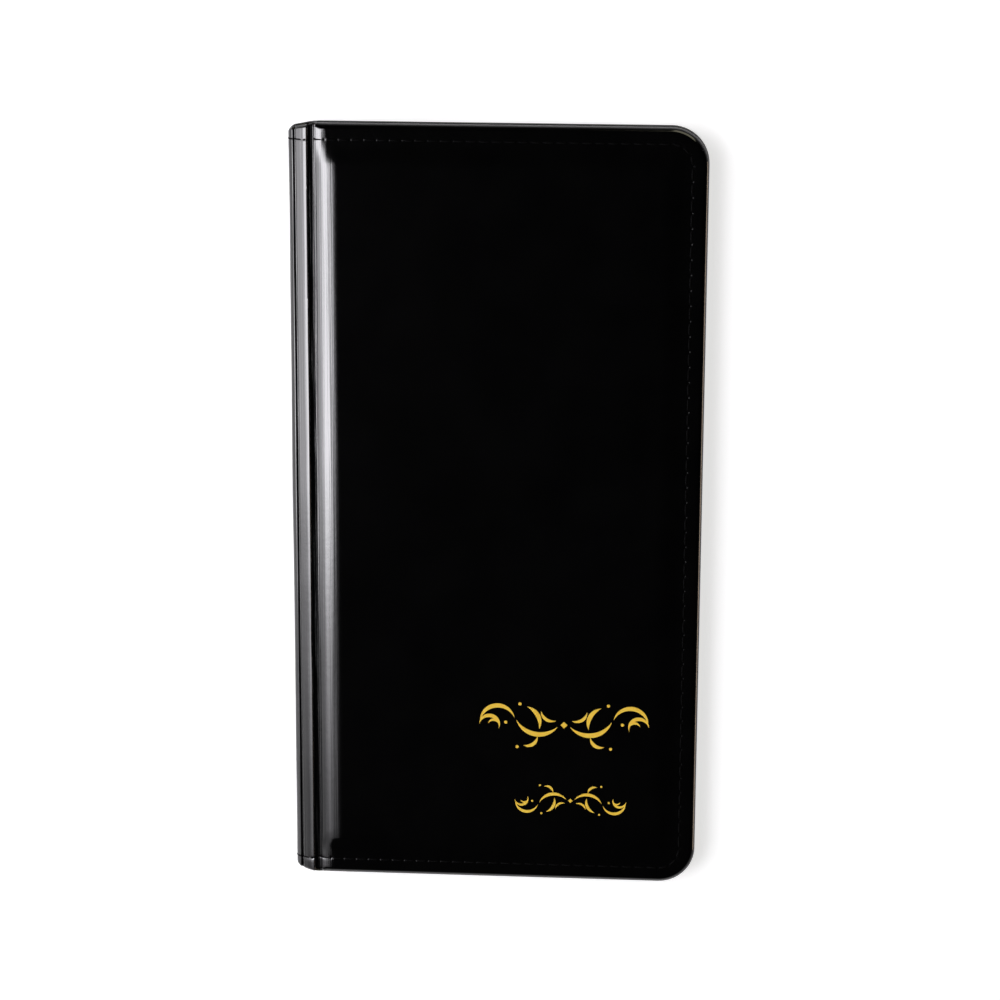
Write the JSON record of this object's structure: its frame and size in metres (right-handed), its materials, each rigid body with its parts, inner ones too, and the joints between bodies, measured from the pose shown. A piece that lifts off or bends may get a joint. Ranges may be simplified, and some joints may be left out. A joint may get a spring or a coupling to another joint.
{
  "type": "guest check presenter",
  "caption": "Book-like padded check presenter in stitched glossy vinyl, with a soft spine, inner pockets and a foil-stamped ornament on the front.",
  "frame": {"origin": "centre of the closed presenter's underside, which is the flat of the back cover's crown", "axes": "+X from the spine to the fore-edge, +Y towards the head, +Z out of the front cover"},
  "size_m": [0.14, 0.2636, 0.0115],
  "materials": {
    "vinyl": "glossy black vinyl with a fine calendered grain",
    "foam": "thin padding foam",
    "board": "greyboard",
    "lining": "matt black vinyl lining",
    "pocket": "satin black pocket vinyl",
    "binding": "folded black tape",
    "thread": "twisted black polyester thread",
    "stiffener": "thin flexible strip",
    "foil": "gold hot-stamping foil"
  },
  "bodies": {
    "back_cover": {"back_skin": "vinyl", "back_foam": "foam", "back_board": "board", "back_joint_strip": "foam", "back_liner": "lining", "back_pocket": "pocket", "back_pocket_binding": "binding", "card_pocket": "pocket", "card_pocket_binding": "binding", "card_pocket_stitching": "thread", "back_stitching_outer": "thread", "back_stitching_inner": "thread"},
    "spine": {"spine_skin": "vinyl", "spine_stiffener": "stiffener", "spine_liner": "lining", "spine_stitching": "thread"},
    "front_cover": {"front_skin": "vinyl", "front_foam": "foam", "front_board": "board", "front_joint_strip": "foam", "front_liner": "lining", "front_pocket": "pocket", "front_pocket_binding": "binding", "front_stitching_outer": "thread", "front_stitching_inner": "thread", "foil_ornament": "foil"}
  },
  "joints": [
    {"name": "spine_hinge", "type": "hinge", "parent": "back_cover", "child": "spine", "pos_m": [-0.06921, 0, 0.00104], "axis": [0, -1, 0], "range_deg": [0, 90]},
    {"name": "front_hinge", "type": "hinge", "parent": "spine", "child": "front_cover", "pos_m": [-0.06921, 0, 0.01041], "axis": [0, -1, 0], "range_deg": [0, 90]}
  ]
}
